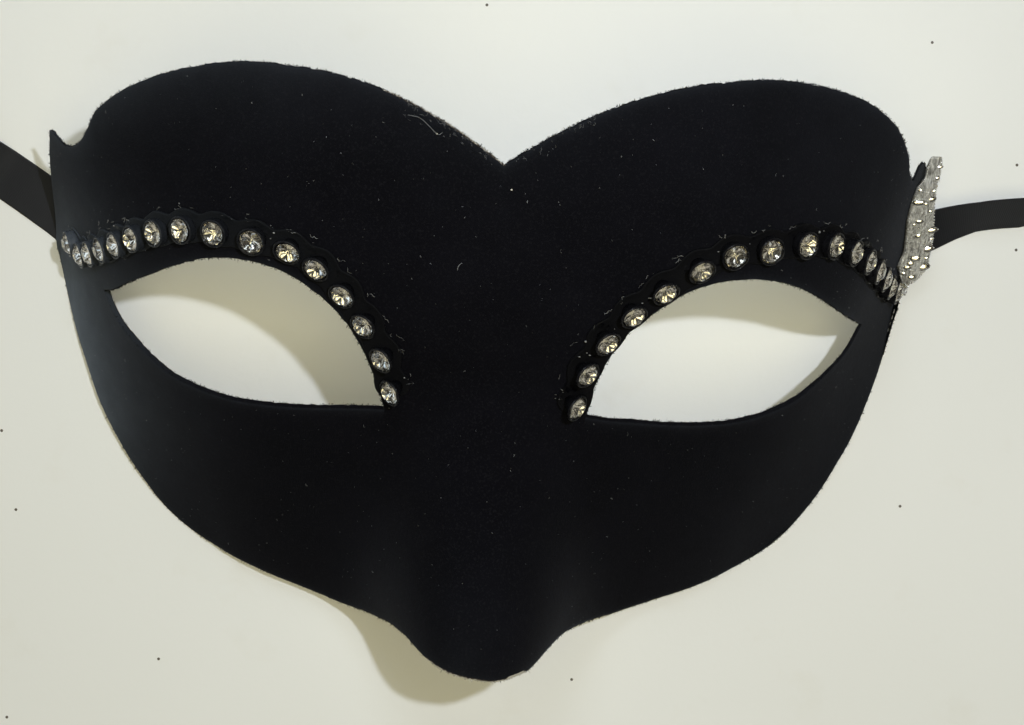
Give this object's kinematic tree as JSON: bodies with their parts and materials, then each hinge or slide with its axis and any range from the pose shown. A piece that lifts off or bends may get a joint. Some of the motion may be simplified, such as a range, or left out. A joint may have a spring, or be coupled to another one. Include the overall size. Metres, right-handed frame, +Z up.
{
  "type": "masquerade half mask",
  "caption": "Black flocked half mask with a heart-shaped brow, almond eye holes, a rhinestone band over each eye, a silver ornament on one temple and ribbon ties.",
  "frame": {"origin": "middle of the mask's footprint on the table, ribbons left out", "axes": "+Z up from the table, +X to the mask's temple with the silver ornament, +Y to its brow edge; the face looks up and a little towards -Y"},
  "size_m": [0.3202, 0.1086, 0.0601],
  "materials": {
    "flocked_shell": "near-black flock on a vacuum-formed off-white plastic shell, worn white at the nose edge",
    "band": "glossy black moulded banding with round cups",
    "stone": "clear faceted, foil-backed",
    "silver_setting": "bright silver setting with small clear stones, a little dull",
    "ribbon": "dark woven ribbon, fine weave, slight sheen"
  },
  "bodies": {
    "root": {"mask_shell": "flocked_shell", "left_brow_band": "band", "right_brow_band": "band", "left_stone_01": "stone", "left_stone_02": "stone", "left_stone_03": "stone", "left_stone_04": "stone", "left_stone_05": "stone", "left_stone_06": "stone", "left_stone_07": "stone", "left_stone_08": "stone", "left_stone_09": "stone", "left_stone_10": "stone", "left_stone_11": "stone", "left_stone_12": "stone", "left_stone_13": "stone", "left_stone_14": "stone", "left_stone_15": "stone", "left_stone_16": "stone", "right_stone_01": "stone", "right_stone_02": "stone", "right_stone_03": "stone", "right_stone_04": "stone", "right_stone_05": "stone", "right_stone_06": "stone", "right_stone_07": "stone", "right_stone_08": "stone", "right_stone_09": "stone", "right_stone_10": "stone", "right_stone_11": "stone", "right_stone_12": "stone", "right_stone_13": "stone", "right_stone_14": "stone", "right_stone_15": "stone", "right_stone_16": "stone", "temple_ornament": "silver_setting", "left_ribbon": "ribbon", "left_ribbon_roll": "ribbon", "right_ribbon": "ribbon", "right_ribbon_roll": "ribbon"}
  },
  "joints": []
}
